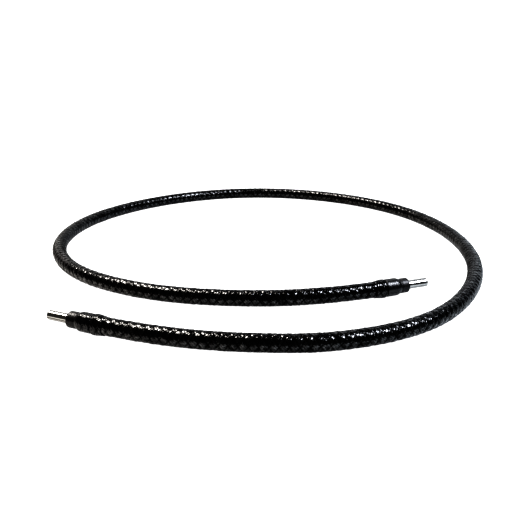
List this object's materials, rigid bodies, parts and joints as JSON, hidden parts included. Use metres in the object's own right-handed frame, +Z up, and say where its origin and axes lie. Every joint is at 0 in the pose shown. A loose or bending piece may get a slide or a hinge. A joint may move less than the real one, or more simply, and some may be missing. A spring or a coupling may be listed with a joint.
{
  "type": "anti-static hose",
  "caption": "Flexible anti-static hose with a lined and wire-braided wall, glossy black cover and plain steel tube stubs, lying in an open loop.",
  "frame": {"origin": "on the floor below the middle of the loop's box", "axes": "+Z up from the floor, +Y across the loop from the side where the two ends overlap to the plain side, +X towards end b's stub"},
  "size_m": [0.551, 0.61, 0.0192],
  "materials": {
    "black_cover": "glossy black over braid, ribbed and slightly crinkled",
    "braid_wire": "bright drawn wire",
    "carbon_liner": "smooth extruded, carbon filled",
    "polished_steel": "polished stainless",
    "collar_steel": "turned and crimped",
    "black_sleeve": "glossy shrunk sleeve"
  },
  "bodies": {
    "root": {"hose_cover": "black_cover", "wire_braid": "braid_wire", "hose_liner": "carbon_liner", "stub_insert_a": "polished_steel", "stub_insert_b": "polished_steel", "crimp_collar_a": "collar_steel", "crimp_collar_b": "collar_steel", "end_sleeve_a": "black_sleeve", "end_sleeve_b": "black_sleeve"}
  },
  "joints": []
}
